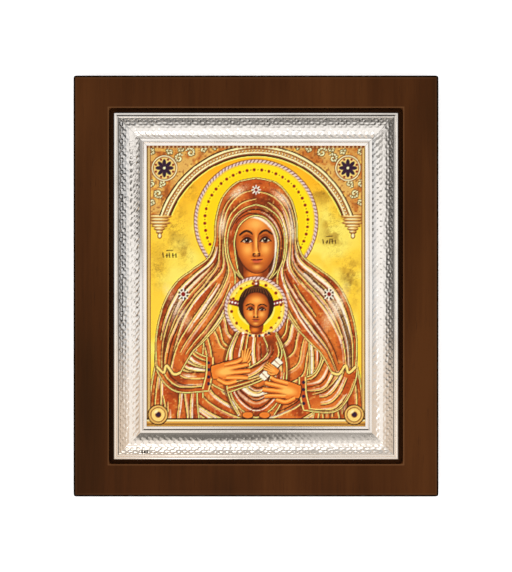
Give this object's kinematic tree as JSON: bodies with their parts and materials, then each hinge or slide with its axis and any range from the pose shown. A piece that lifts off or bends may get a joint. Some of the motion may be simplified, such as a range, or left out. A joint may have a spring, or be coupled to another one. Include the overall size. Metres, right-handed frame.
{
  "type": "icon panel",
  "caption": "Flat wooden icon panel with a picture plate held in a raised, hammered silver border set in a shallow recess.",
  "frame": {"origin": "centre of the board's back face", "axes": "+X to the picture's right, +Y to the picture's top, +Z out of the front; the panel lies on its back"},
  "size_m": [0.26, 0.3, 0.0214],
  "materials": {
    "stained_wood": "dark walnut stain, blotchy, satin varnish",
    "hammered_silver": "polished silver, hammered on the round of the border",
    "printed_picture": "printed picture in gold, ochre and red-brown under a thin satin film"
  },
  "bodies": {
    "root": {"wooden_board": "stained_wood", "silver_border": "hammered_silver", "picture_plate": "printed_picture"}
  },
  "joints": []
}
